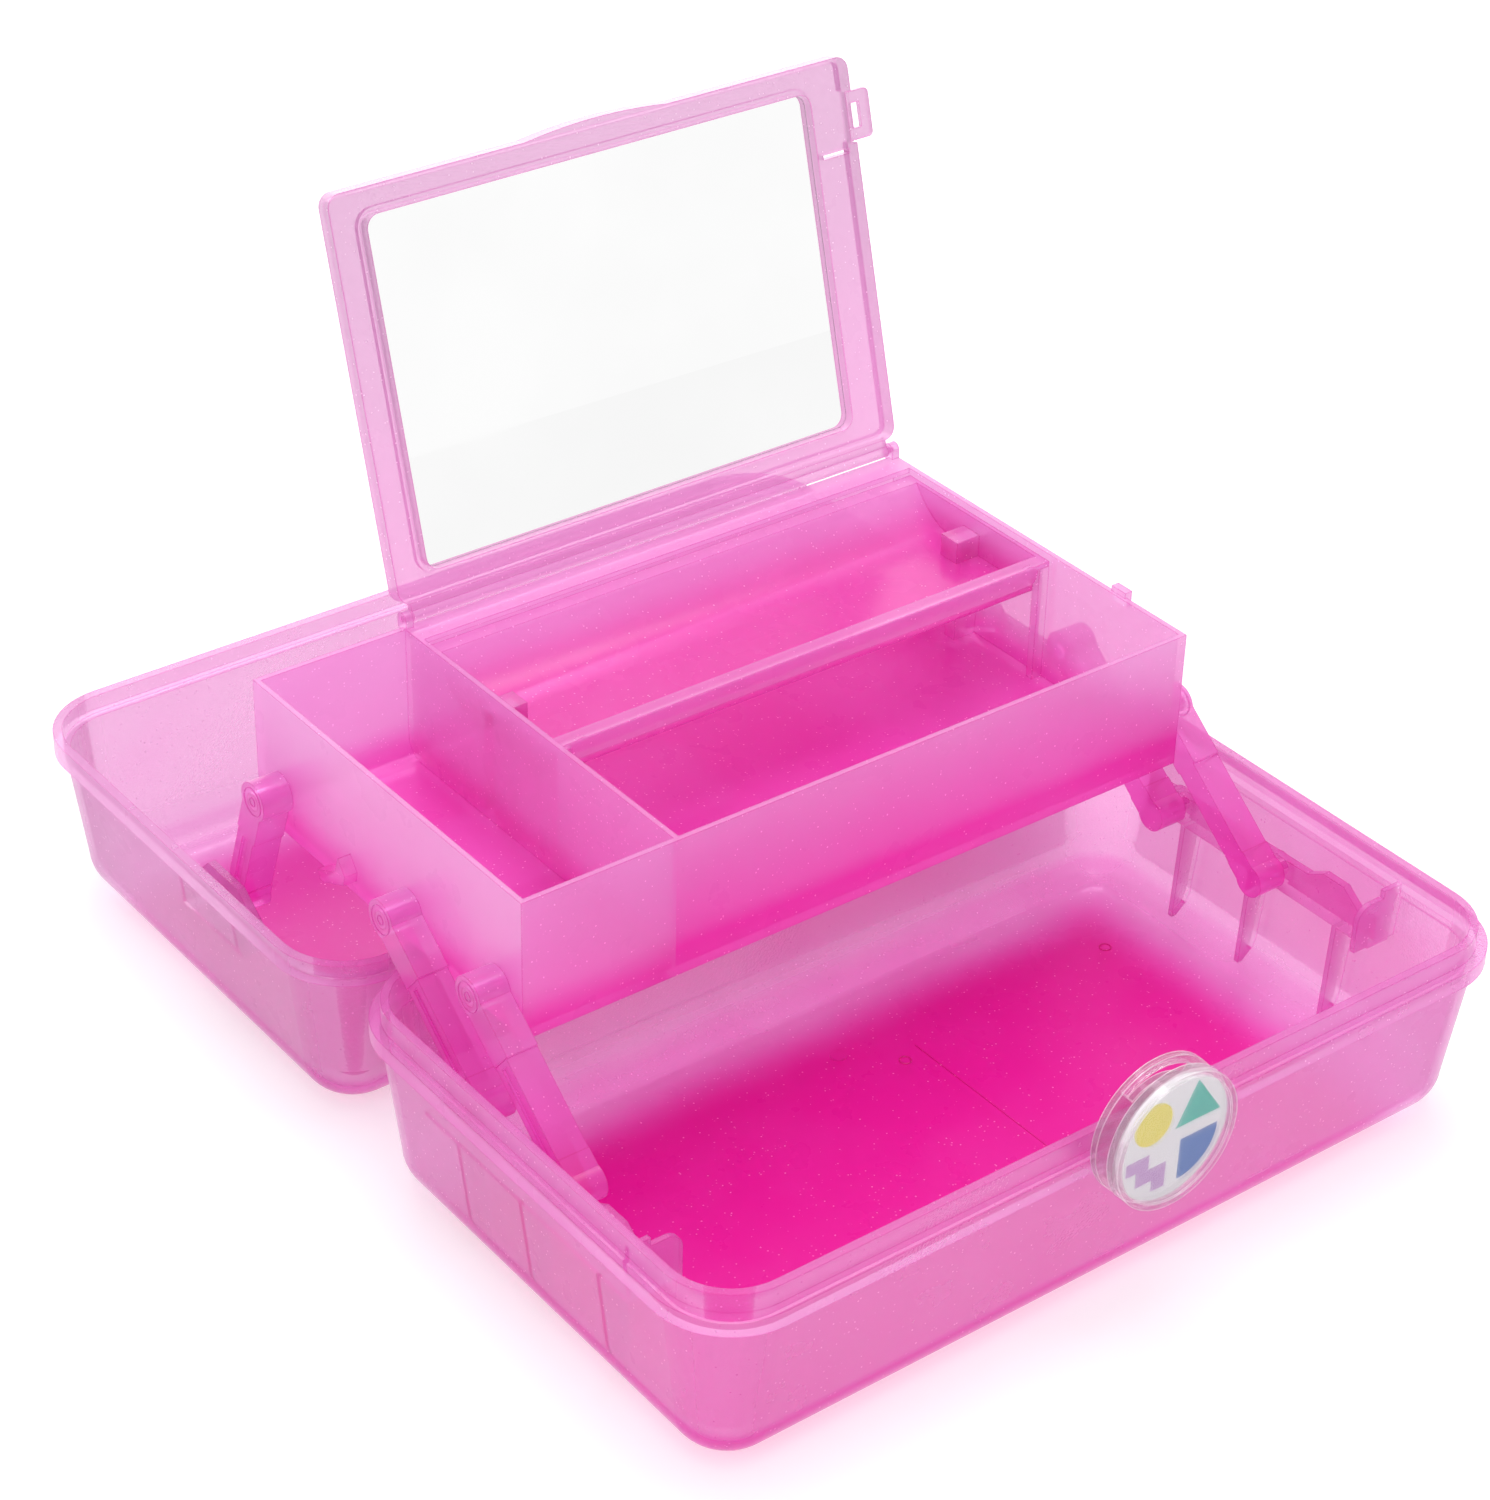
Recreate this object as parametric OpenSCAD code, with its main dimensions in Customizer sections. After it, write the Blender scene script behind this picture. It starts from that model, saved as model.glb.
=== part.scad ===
// Makeup storage case with a cantilevered tray, a mirror cover and a lid handle.
// Shown open: the lid lies flat behind the base and the tray stands above the gap.
// X points right, Y points back, Z points up, in millimetres.
// The origin is the middle of the base's underside, on the table.

/* [Case shells] */
// Outside width of each shell
case_w = 340; // [300:1:380]
// Outside depth of each shell
case_d = 204; // [190:1:230]
// Height of each shell at the parting line
shell_h = 68.5; // [62:0.5:76]
// Corner radius seen from above
corner_r = 28.5; // [26:0.5:34]
// Radius between walls and floor
foot_r = 16; // [12:0.5:17]
// Wall and floor thickness of the shells
wall_t = 2.5; // [2:0.1:3.2]
// Inward slope of the walls toward the floor, degrees
draft = 7; // [4:0.5:8]
// Distance between the two open shells
shell_gap = 9.4; // [9:0.2:14]
// Height of the base's outer rim band
base_band_h = 6; // [4:0.5:8]
// Height of the lid's outer rim band
lid_band_h = 8.2; // [8:0.2:10]
// Step from the rim band in to the wall
band_step = 2.5; // [2:0.1:3]
// Height of the base's upstanding lip
lip_h = 6.8; // [5:0.1:6.8]
// Thickness of the base's upstanding lip
lip_t = 3; // [2:0.1:3.4]

/* [Swing arms] */
// Forward reach of an arm from its upper to its lower pivot
arm_run = 53.7; // [52:0.1:55]
// Drop of an arm from its upper to its lower pivot
arm_drop = 43.1; // [41:0.1:44]
// Distance between the front and the rear arm
arm_pitch = 51; // [46:0.5:56]
// Thickness of an arm across the case
arm_t = 11.7; // [10:0.1:11.7]
// Radius of an arm's upper head
head_r = 7.2; // [6:0.1:8]
// Radius of an arm's lower head
toe_r = 6.2; // [5.5:0.1:7]
// Radius of the pivot pins
pin_r = 3.2; // [2.5:0.1:3.6]
// Radial play of a pivot pin in its hole
pin_play = 0.06; // [0.03:0.01:0.1]

/* [Tray] */
// Room on each side from the tray to the shells' outside, for the arms and brackets
side_room = 30.5; // [30:0.5:31]
// Outside depth of the tray
tray_d = 160.6; // [150:0.2:164]
// Outside height of the tray
tray_h = 53; // [46:0.5:56]
// Height of the tray's rim above the table
tray_top = 131.4; // [130:0.2:140]
// Wall thickness of the tray
tray_t = 2; // [1.6:0.1:2.5]
// Distance from the tray's left side to its divider
divider_x = 59.6; // [50:0.5:80]
// Depth of the lift-out trough, front to back
trough_d = 79; // [60:1:79]
// Depth of the lift-out trough below its rim
trough_h = 16; // [12:0.5:16]

/* [Mirror cover] */
// Height of the cover's frame above its hinge
cover_h = 149.2; // [130:0.2:149.2]
// Backward lean of the raised cover, degrees
cover_lean = 15.3; // [8:0.1:20]
// Thickness of the cover's frame at its edge
cover_t = 6.4; // [5:0.2:7]
// Width of the frame beside the mirror
cover_border = 13.5; // [12:0.5:18]
// Thickness of the mirror
glass_t = 1.6; // [1.2:0.1:2]

/* [Latch] */
// Diameter of the latch's front disc and back plate
latch_dia = 50; // [44:1:52]
// Distance from the back plate to the front disc
latch_deep = 12.4; // [10:0.2:14]
// Height of the latch's middle above the table
latch_z = 73; // [71:0.5:76]

/* [Handle] */
// Length of the handle between its ends
handle_l = 118; // [100:1:140]
// Depth of the handle from its pivot to its outer edge
handle_reach = 32; // [28:1:40]
// Thickness of the handle's grip
grip_t = 8.5; // [7:0.5:8.5]

/* [Hidden] */
clear = 0.4;                                   // gap between pieces that pass each other
mid_y = -(case_d + shell_gap) / 2;             // middle of the base, from the hinge line
cant = tan(draft);                             // slope of a wall
nip = 0.1;                                     // a wall and the floor cut their curve this far inside it
lip_in = 3.9;                                  // from the shell's outside to the lip
rebate_in = lip_in - clear;                    // from the shell's outside to the lid's rebate
inner_x = case_w / 2 - lip_in - lip_t;         // inside of the lip, from the middle
tray_w = case_w - 2 * side_room;               // outside width of the tray
tray_x = tray_w / 2;                           // tray's outer wall, from the middle
cover_w = tray_w - divider_x + 0.1;            // width of the cover's frame
tray_back = 92.2;                              // tray's back, from the hinge line
tray_front = tray_back - tray_d;               // tray's front, from the hinge line
tray_z = tray_top - tray_h;                    // tray's underside
arm_in = tray_x + 0.6;                         // inner face of the arms
arm_out = arm_in + arm_t;                      // outer face of the arms
plate_in = arm_out + 0.3;                      // inner face of the brackets
plate_t = 3;                                   // thickness of a bracket plate
top_front = [-56, 93.5];                       // front arm's upper pivot, y and z
top_rear = top_front + [arm_pitch, 0];         // rear arm's upper pivot
toe_front = top_front - [arm_run, arm_drop];   // front arm's lower pivot
toe_rear = top_rear - [arm_run, arm_drop];     // rear arm's lower pivot
link_top = [75.3, 95.7];                       // lid link's pivot on the tray
link_toe = [93.5, 45.7];                       // lid link's pivot on the lid
post_y = 39.2;                                 // front of the posts under the trough, from the hinge line
post_d = 5.4;                                  // depth of those posts
post_top = 121.6;                              // their height above the table
shelf_z = 44;                                  // underside of the base bracket
divider = -tray_x + divider_x;                 // divider's left face
hinge_z = shell_h;                             // lid hinge axis
knuckle_r = 4.4;                               // radius of the lid hinge knuckles
rod_r = 1.6;                                   // radius of the lid hinge pins
knuckle_x = 95;                                // middle of a lid hinge, from the middle
knuckle_l = 12;                                // length of a lid knuckle
cover_x = divider - 1;                         // cover's left edge
cover_z = tray_top + 3;                        // cover's hinge axis
cover_y = tray_back + 0.3;                     // cover's hinge axis
cover_front = 2.6;                             // cover's front face, from the hinge axis
glass_in = cover_border;                       // mirror opening, from the frame's edge
bulge_h = 2;                                   // finger bulge above the cover's edge
bulge_r = 226;                                 // curve of the finger bulge
clip_v = 126.5;                                // snap clip's middle along the cover
latch_back = case_d + shell_gap / 2 + 0.5;     // back plate's rear face, from the hinge line
latch_pin_y = case_d + shell_gap / 2 - 1.1;    // latch pin, from the hinge line
latch_pin_z = 57;                              // latch pin above the table
well_y = -mid_y;                               // middle of the handle's well
well_h = grip_t + 3;                           // depth of the handle's well
handle_pivot_y = well_y + 12;                  // handle's axis
handle_pivot_z = 1 + grip_t / 2;               // handle's axis above the table
case_pink = [0.93, 0.35, 0.72, 0.8];
deep_pink = [0.92, 0.25, 0.66, 0.8];
clear_tint = [0.97, 0.93, 0.96, 0.5];
steel_tint = [0.75, 0.76, 0.78];
white_tint = [0.97, 0.96, 0.96];

// Length rounded to a thousandth, so that neighbouring sections meet in the same points.
function fine(length) = round(length * 1000) / 1000;

// Moves a piece drawn from the hinge line to the case's place on the table.
module placed() {
    translate([0, -mid_y, 0]) children();
}

// Draws a piece and its twin on the other side.
module both_sides() {
    children();
    mirror([1, 0, 0]) children();
}

// Rounded rectangle of a shell seen from above, drawn in by a margin.
module plan(margin) {
    r = corner_r - margin;
    for (x = [-1, 1], y = [-1, 1])
        translate([x * (case_w / 2 - corner_r), y * (case_d / 2 - corner_r)]) circle(r = r, $fn = 96);
    square([case_w - 2 * margin, case_d - 2 * corner_r], center = true);
    square([case_w - 2 * corner_r, case_d - 2 * margin], center = true);
}

// Half section of a shell from its middle out to a wall, drawn in by a thickness.
module half_section(reach, thick) {
    foot = reach - band_step - shell_h * cant;
    middle = [fine(foot - foot_r * (1 - sin(draft)) / cos(draft)), foot_r - nip];
    r = foot_r - thick;
    bend = middle + [fine((r - nip) * cos(draft)), -fine((r - nip) * sin(draft))];
    top = bend[0] + fine((shell_h - bend[1]) * cant);
    intersection() {
        union() {
            polygon([[0, thick - 1], [middle[0], thick - 1], bend, [top, shell_h], [0, shell_h]]);
            translate(middle) circle(r = r, $fn = 96);
        }
        translate([0, thick]) square([reach, shell_h - thick]);
    }
}

// Solid block with the outside shape of a shell, drawn in by a thickness.
module tub(thick) {
    flat_x = case_w / 2 - corner_r;
    flat_y = case_d / 2 - corner_r;
    for (turn = [0, 180]) rotate([0, 0, turn]) {
        translate([flat_x, flat_y, 0]) rotate_extrude(angle = 90, $fn = 96) half_section(corner_r, thick);
        translate([-flat_x, flat_y, 0]) rotate([0, 0, 90])
            rotate_extrude(angle = 90, $fn = 96) half_section(corner_r, thick);
        translate([flat_x, flat_y, 0]) rotate([90, 0, 0]) linear_extrude(2 * flat_y)
            half_section(corner_r, thick);
        translate([-flat_x, 0, 0]) rotate([90, 0, 90]) linear_extrude(2 * flat_x)
            half_section(case_d / 2, thick);
    }
}

// Ring of the shell's outline between two margins.
module ring(outer, inner, low, high) {
    translate([0, 0, low]) linear_extrude(high - low) difference() {
        plan(outer);
        plan(inner);
    }
}

// Hinge barrel along X with its web to the shell behind or before it.
module knuckle(x, length, side) {
    translate([x, 0, hinge_z]) rotate([0, 90, 0]) cylinder(r = knuckle_r, h = length, center = true, $fn = 48);
    translate([x - length / 2, side > 0 ? 0 : -shell_gap / 2 - 1, hinge_z - 5.5])
        cube([length, shell_gap / 2 + 1, 4.5]);
}

// Bracket plate outline inside the base, seen from the side.
module base_plate() {
    polygon([[-45, shelf_z], [-45, 56], [-126, 58], [-133, 62], [-143, 62], [-151, 56], [-157, 56],
        [-157, shelf_z]]);
}

// Arm bracket inside the base's right wall, with its ribs and stop plate.
module base_bracket() {
    inside = case_w / 2 - 5.5;
    translate([plate_in, 0, 0]) rotate([90, 0, 90]) linear_extrude(plate_t) base_plate();
    translate([plate_in, -157, shelf_z]) cube([inside - plate_in - 1, 112, 2.2]);
    for (p = [toe_front, toe_rear]) translate([plate_in, p[0], p[1]])
        rotate([0, 90, 0]) cylinder(r = toe_r, h = plate_t + 1.5, $fn = 48);
    for (y = [-64, -99, -141]) translate([0, y + 1, 0]) rotate([90, 0, 0]) linear_extrude(2)
        polygon([[plate_in, shelf_z + 1], [inside, shelf_z + 1], [inside, 16], [case_w / 2 - 18, 5],
            [case_w / 2 - 20, 5]]);
    // stop plate under the lowered front arm, cut round at its inner top corner
    translate([0, -157, 0]) rotate([90, 0, 0]) linear_extrude(2) {
        translate([arm_in + 3, 47]) square([inside - arm_in - 3, 12]);
        translate([arm_in + 9, 59]) circle(r = 6, $fn = 48);
        translate([arm_in + 9, 47]) square([inside - arm_in - 9, 18]);
        translate([plate_in + 3, 47]) square([inside - plate_in - 3, 21]);
    }
}

// Bottom shell: tub, rim band, lip, arm brackets, hinge knuckles and latch ears.
module base_shell() {
    color(case_pink) placed() difference() {
        union() {
            translate([0, mid_y, 0]) difference() {
                union() {
                    tub(0);
                    ring(0, lip_in + lip_t, shell_h - base_band_h, shell_h);
                    ring(lip_in, lip_in + lip_t, shell_h - base_band_h, shell_h + lip_h);
                }
                tub(wall_t);
            }
            translate([0, mid_y, 0]) ring(lip_in, lip_in + lip_t, shell_h - base_band_h, shell_h + lip_h);
            both_sides() knuckle(knuckle_x, 20, -1);
            intersection() {
                both_sides() base_bracket();
                translate([0, mid_y, 0]) tub(1);
            }
            // ears that carry the latch pin
            for (x = [-12, 12]) {
                translate([x, -latch_pin_y, latch_pin_z]) rotate([0, 90, 0])
                    cylinder(r = 2.2, h = 4, center = true, $fn = 32);
                translate([x - 2, -latch_pin_y, latch_pin_z - 2.2]) cube([4, 4, 4.4]);
            }
            // moulding mark on the floor
            translate([0, mid_y + 50, wall_t - 0.2]) cylinder(r = 3, h = 0.8, $fn = 48);
        }
        for (s = [-1, 1]) translate([s * knuckle_x, 0, hinge_z]) rotate([0, 90, 0])
            cylinder(r = rod_r, h = 30, center = true, $fn = 32);
        for (p = [toe_front, toe_rear]) both_sides() translate([plate_in - 1, p[0], p[1]])
            rotate([0, 90, 0]) cylinder(r = pin_r + pin_play, h = plate_t + 4, $fn = 48);
        translate([0, -latch_pin_y, latch_pin_z]) rotate([0, 90, 0])
            cylinder(r = 1.2, h = 40, center = true, $fn = 24);
    }
}

// Bracket inside the lid's right wall that faces the lower end of the lid link.
module lid_bracket() {
    inside = case_w / 2 - 5.5;
    translate([plate_in, 0, 0]) rotate([90, 0, 90]) linear_extrude(plate_t)
        polygon([[72, 36.5], [72, 47], [84, 56], [104, 56], [113, 47], [113, 36.5]]);
    translate([plate_in, 72, 36.5]) cube([inside - plate_in, 41, 2.2]);
    for (y = [74, 110]) translate([plate_in, y, 37]) cube([inside - plate_in, 2, 12]);
    translate([plate_in, link_toe[0], link_toe[1]]) rotate([0, 90, 0])
        cylinder(r = toe_r, h = plate_t + 4, $fn = 48);
}

// Walls of the recess in the lid's top that takes the folded handle.
module handle_well(grow, high) {
    r = 8 + grow;
    l = handle_l / 2 + 4 + grow;
    d = 24 + grow;
    translate([0, well_y, 0]) linear_extrude(high) {
        for (x = [-1, 1], y = [-1, 1]) translate([x * (l - r), y * (d - r)]) circle(r = r, $fn = 64);
        square([2 * l, 2 * (d - r)], center = true);
        square([2 * (l - r), 2 * d], center = true);
    }
}

// Top shell, lying on its back behind the base.
module lid_shell() {
    color(case_pink) placed() difference() {
        union() {
            translate([0, -mid_y, 0]) difference() {
                union() {
                    tub(0);
                    ring(0, lip_in + lip_t, shell_h - lid_band_h, shell_h);
                }
                tub(wall_t);
                ring(rebate_in, lip_in + lip_t + 3, shell_h - lip_h - 0.4, shell_h + 1);
            }
            both_sides() for (s = [-1, 1])
                knuckle(knuckle_x + s * (10 + 0.3 + knuckle_l / 2), knuckle_l, 1);
            intersection() {
                both_sides() lid_bracket();
                translate([0, -mid_y, 0]) tub(1);
            }
            handle_well(2, well_h + 2);
            // catch that the latch's slot hooks over
            translate([-5, -2 * mid_y - 12, 2 * shell_h - latch_z - 20.3])
                cube([10, latch_back + 2.2 + 2 * mid_y + 12, 1.8]);
        }
        translate([0, 0, -1]) handle_well(0, well_h + 1);
        both_sides() translate([knuckle_x, 0, hinge_z]) rotate([0, 90, 0])
            cylinder(r = rod_r + pin_play, h = 60, center = true, $fn = 32);
        translate([0, handle_pivot_y, handle_pivot_z]) rotate([0, 90, 0])
            cylinder(r = 2.5 + pin_play, h = handle_l + 11, center = true, $fn = 32);
    }
}

// Steel rod of one lid hinge.
module hinge_rod(x) {
    color(steel_tint) placed() translate([x, 0, hinge_z]) rotate([0, 90, 0])
        cylinder(r = rod_r, h = 20 + 2 * knuckle_l + 0.6, center = true, $fn = 32);
}

module hinge_pin_left() { hinge_rod(-knuckle_x); }

module hinge_pin_right() { hinge_rod(knuckle_x); }

// Arm between two pivots, drawn from its upper head toward its lower one.
module arm_body(length, toe) {
    linear_extrude(arm_t) {
        circle(r = head_r, $fn = 48);
        translate([0, -5.6]) square([length * 0.34, 11.2]);
        translate([0, -4.8]) square([length, 9.6]);
        translate([length * 0.86, -5.3]) square([length * 0.14, 10.6]);
        translate([length, 0]) circle(r = toe, $fn = 48);
    }
}

// One swing arm on the right side, turned from upper pivot to lower pivot.
module right_arm(top, toe, toe_pin) {
    run = toe - top;
    placed() difference() {
        union() {
            translate([arm_in, top[0], top[1]]) rotate([atan2(run[1], run[0]), 0, 0])
                rotate([90, 0, 90]) arm_body(norm(run), toe_r);
            if (toe_pin) translate([arm_in, toe[0], toe[1]]) rotate([0, 90, 0])
                cylinder(r = pin_r, h = arm_t + 0.3 + plate_t + 1.5, $fn = 48);
        }
        translate([arm_in - 1, top[0], top[1]]) rotate([0, 90, 0])
            cylinder(r = pin_r + pin_play, h = arm_t + 2, $fn = 48);
        // long groove that lightens the outer face
        translate([arm_out - 1.2, top[0], top[1]]) rotate([atan2(run[1], run[0]), 0, 0])
            translate([0, norm(run) * 0.34 + 2, -1.6]) cube([3, norm(run) * 0.5 - 4, 3.2]);
    }
}

module front_arm_right() { color(case_pink) right_arm(top_front, toe_front, true); }

module front_arm_left() { mirror([1, 0, 0]) front_arm_right(); }

module rear_arm_right() { color(case_pink) right_arm(top_rear, toe_rear, true); }

module rear_arm_left() { mirror([1, 0, 0]) rear_arm_right(); }

module lid_link_right() { color(case_pink) right_arm(link_top, link_toe, false); }

module lid_link_left() { mirror([1, 0, 0]) lid_link_right(); }

// Upstanding post in the tray's main compartment that carries the trough.
module post(x, y, reach, depth, high) {
    translate([x, y, tray_z + tray_t - 0.2]) cube([reach, depth, high - tray_z - tray_t + 0.2]);
}

// Hooked lug low on the outside of the tray's right wall.
module wall_hook() {
    translate([tray_x - 0.5, 0, 0]) rotate([90, 0, 90]) linear_extrude(5.5)
        polygon([[29, 88], [33, 93.5], [35.5, 86.5], [46.5, 81.5], [45, 78.4], [42.5, 78.4], [30, 84]]);
}

// Tray with its divider, posts, pivot pins, hooks, hinge lugs and catch.
module main_tray() {
    inner_y = tray_d - 2 * tray_t;
    color(deep_pink) placed() difference() {
        union() {
            difference() {
                translate([-tray_x, tray_front, tray_z]) cube([tray_w, tray_d, tray_h]);
                translate([divider + tray_t, tray_front + tray_t, tray_z + tray_t])
                    cube([tray_x - tray_t - divider - tray_t, inner_y, tray_h]);
                // left compartment with a rounded foot along its back wall
                translate([-tray_x + tray_t, 0, 0]) rotate([90, 0, 90])
                    linear_extrude(divider + tray_x - tray_t) union() {
                        translate([tray_front + tray_t, tray_z + tray_t + 8]) square([inner_y, tray_h]);
                        translate([tray_front + tray_t, tray_z + tray_t]) square([inner_y - 8, tray_h]);
                        translate([tray_back - tray_t - 8, tray_z + tray_t + 8]) circle(r = 8, $fn = 48);
                    }
            }
            // ledge behind the trough and the lugs that hold the cover
            translate([divider + 1, tray_back - 11, tray_top - 2]) cube([tray_x - divider - 2, 11, 2]);
            for (x = [divider, tray_x - 3.2]) {
                translate([x, cover_y, cover_z]) rotate([0, 90, 0]) cylinder(r = 2.6, h = 3.2, $fn = 32);
                translate([x, cover_y - 2.6, tray_top - 6]) cube([3.2, 2.6, 6]);
                translate([x, cover_y - 2.6, tray_top - 1]) cube([3.2, 5.2, cover_z - tray_top + 1]);
            }
            for (x = [tray_x - 12, divider + 1]) post(x, post_y, 11, post_d, post_top);
            for (x = [tray_x - 6.5, divider + 1]) post(x, 1.4, 5.5, 3.2, tray_top - 4.7);
            for (p = [top_front, top_rear, link_top]) both_sides()
                translate([tray_x - 1, p[0], p[1]]) rotate([0, 90, 0])
                    cylinder(r = pin_r, h = 1.6 + arm_t, $fn = 48);
            both_sides() wall_hook();
            // catch for the cover's snap clip
            translate([tray_x - 1, cover_y - clip_v - 3.6, tray_top - 4]) cube([3.2, 7.2, 6.2]);
        }
        for (x = [divider - 1, tray_x - 4]) translate([x, cover_y, cover_z]) rotate([0, 90, 0])
            cylinder(r = 1.2 + pin_play, h = 5.2, $fn = 32);
    }
}

// Section of the trough: tight curve in front, wide curve behind, drawn in by a thickness.
module trough_section(thick) {
    translate([5 + thick, 6]) square([43 - thick, trough_h]);
    translate([11, thick]) square([37, trough_h]);
    translate([11, 6]) circle(r = 6 - thick, $fn = 48);
    intersection() {
        translate([48, 32.8]) circle(r = 32.8 - thick, $fn = 96);
        translate([47, 0]) square([trough_d - 47, trough_h + 4]);
    }
}

// Lift-out trough that rests on the tray's four posts, with caps over the two rear ones.
module lift_out_trough() {
    left = divider + tray_t + 0.4;
    right = tray_x - tray_t - 0.4;
    rim = tray_top - 2.4;
    low = rim - trough_h;
    cap = post_top + 0.3 - low;
    color(deep_pink) placed() difference() {
        union() {
            difference() {
                union() {
                    translate([left, 0, low]) rotate([90, 0, 90]) linear_extrude(right - left) intersection() {
                        trough_section(0);
                        square([trough_d + 1, trough_h - 0.1]);
                    }
                    translate([left, 1, rim - 2]) cube([right - left, trough_d, 2]);
                    // apron below the front rim, cut round at its ends
                    translate([left + 5.4, 2.8, rim - 3.5]) rotate([90, 0, 0]) linear_extrude(1.8) {
                        translate([0, 0]) square([right - left - 10.8, 3.5]);
                        translate([4, -4]) square([right - left - 18.8, 5]);
                        for (x = [4, right - left - 14.8]) translate([x, 0]) circle(r = 4, $fn = 48);
                    }
                }
                translate([left + 1.8, 0, low]) rotate([90, 0, 90])
                    linear_extrude(right - left - 3.6) trough_section(1.8);
            }
            for (x = [left, right - 12.4])
                translate([x, post_y - clear - 1.4, low]) cube([12.4, post_d + 2 * clear + 2.8, cap + 1.6]);
        }
        for (x = [left - 1, right - 11]) translate([x, post_y - clear, low - 1])
            cube([12, post_d + 2 * clear, cap + 1]);
    }
}

// Moves a piece drawn upright at the cover's hinge to its leaning place.
module on_cover() {
    placed() translate([0, cover_y, cover_z]) rotate([-cover_lean, 0, 0]) children();
}

// Rounded upright panel from x0 to x1 and v0 to v1.
module panel(x0, x1, v0, v1, r, back, front) {
    translate([0, back, 0]) rotate([90, 0, 0]) linear_extrude(back + front) {
        for (x = [x0 + r, x1 - r], v = [v0 + r, v1 - r]) translate([x, v]) circle(r = r, $fn = 48);
        translate([x0 + r, v0]) square([x1 - x0 - 2 * r, v1 - v0]);
        translate([x0, v0 + r]) square([x1 - x0, v1 - v0 - 2 * r]);
    }
}

// Frame of the mirror cover with its skirt, finger bulge and hinge bar.
module cover_frame() {
    x1 = cover_x + cover_w;
    back = cover_t - cover_front;
    color(case_pink) on_cover() difference() {
        union() {
            difference() {
                union() {
                    panel(cover_x, x1, 5, cover_h, 5, back, cover_front);
                    // finger bulge in the middle of the top edge
                    intersection() {
                        translate([(cover_x + x1) / 2, back, cover_h + bulge_h - bulge_r]) rotate([90, 0, 0])
                            cylinder(r = bulge_r, h = cover_t, $fn = 192);
                        translate([cover_x + 40, -10, cover_h - 5]) cube([cover_w - 80, 30, 20]);
                    }
                }
                translate([0, 0.1, 0]) panel(cover_x + 2, x1 - 2, 7, cover_h - 2, 3, back, -0.6);
                panel(cover_x + glass_in, x1 - glass_in - 5, 5 + 9, cover_h - 10, 5, 1, 10);
            }
            // collar behind the opening that holds the mirror
            difference() {
                panel(cover_x + glass_in - 2, x1 - glass_in - 3, 12, cover_h - 8, 7, 2.8, 0);
                panel(cover_x + glass_in, x1 - glass_in - 5, 14, cover_h - 10, 5, 4, 5);
            }
            // hinge bar and its two webs
            translate([cover_x + 4.8, 0, 0]) rotate([0, 90, 0]) cylinder(r = 2.2, h = cover_w - 8.6, $fn = 32);
            translate([cover_x + 4.8, -1.1, 0]) cube([cover_w - 8.6, 2.2, 7]);
            translate([cover_x + 1.5, 0, 0]) rotate([0, 90, 0]) cylinder(r = 1.2, h = cover_w - 2, $fn = 32);
        }
        // notch for the snap clip and the slit that frees the edge beside it
        translate([x1 - 2.6, -5, clip_v - 9.4]) cube([6, 12, 18.8]);
        translate([x1 - 16, -5, clip_v - 12.4]) cube([12, 12, 1.6]);
    }
}

// Mirror behind the frame's opening.
module mirror_glass() {
    x1 = cover_x + cover_w;
    color(white_tint) on_cover()
        panel(cover_x + glass_in + 0.3, x1 - glass_in - 5.3, 14.3, cover_h - 10.3, 4.7, 2.4, glass_t - 2.4);
}

// Snap clip beside the cover, a loop that hooks over the tray's catch.
module snap_clip() {
    x1 = cover_x + cover_w;
    color(case_pink) on_cover() difference() {
        union() {
            translate([x1 - 1, 0, clip_v - 9]) cylinder(r = 1.2, h = 18, $fn = 32);
            panel(x1 - 1, x1 + 9, clip_v - 9, clip_v + 9, 2, 0.8, 0.8);
        }
        translate([x1 + 0.6, -3, clip_v - 4.6]) cube([3.6, 6, 9.2]);
    }
}

// Latch: back plate, waist and hollow front disc, drawn around its own axis.
module latch_shape() {
    rotate([90, 0, 0]) {
        difference() {
            cylinder(d = latch_dia, h = 2.4, $fn = 96);
            // arched slot for the lid's catch
            translate([0, 0, -1]) linear_extrude(5) intersection() {
                difference() {
                    circle(r = 22, $fn = 96);
                    circle(r = 18.2, $fn = 96);
                }
                polygon([[0, 0], [-24, 30], [24, 30]]);
            }
        }
        cylinder(r = 17.4, h = latch_deep - 4, $fn = 96);
        translate([0, 0, latch_deep - 5]) difference() {
            cylinder(d = latch_dia, h = 5, $fn = 96);
            translate([0, 0, 1.6]) cylinder(d = latch_dia - 4.4, h = 4, $fn = 96);
        }
    }
}

// Clear latch with the lug that turns on the latch pin.
module latch_body() {
    color(clear_tint) placed() difference() {
        union() {
            translate([0, -latch_back, latch_z]) latch_shape();
            translate([0, -latch_pin_y, latch_pin_z]) rotate([0, 90, 0])
                cylinder(r = 2.1, h = 19, center = true, $fn = 32);
            translate([-9.5, -latch_back - 1, latch_pin_z - 2.1]) cube([19, latch_back + 1 - latch_pin_y, 4.2]);
        }
        translate([0, -latch_pin_y, latch_pin_z]) rotate([0, 90, 0])
            cylinder(r = 1.2 + pin_play, h = 30, center = true, $fn = 24);
        // hollows in the back plate that clear the base's ears
        for (x = [-12, 12]) translate([x, -latch_pin_y, latch_pin_z]) rotate([0, 90, 0])
            cylinder(r = 2.6, h = 5, center = true, $fn = 32);
    }
}

// White disc behind the latch's clear face.
module latch_insert() {
    color(white_tint) placed() translate([0, -latch_back - latch_deep + 3.4, latch_z])
        rotate([90, 0, 0]) cylinder(d = latch_dia - 4.8, h = 1, $fn = 96);
}

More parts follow.
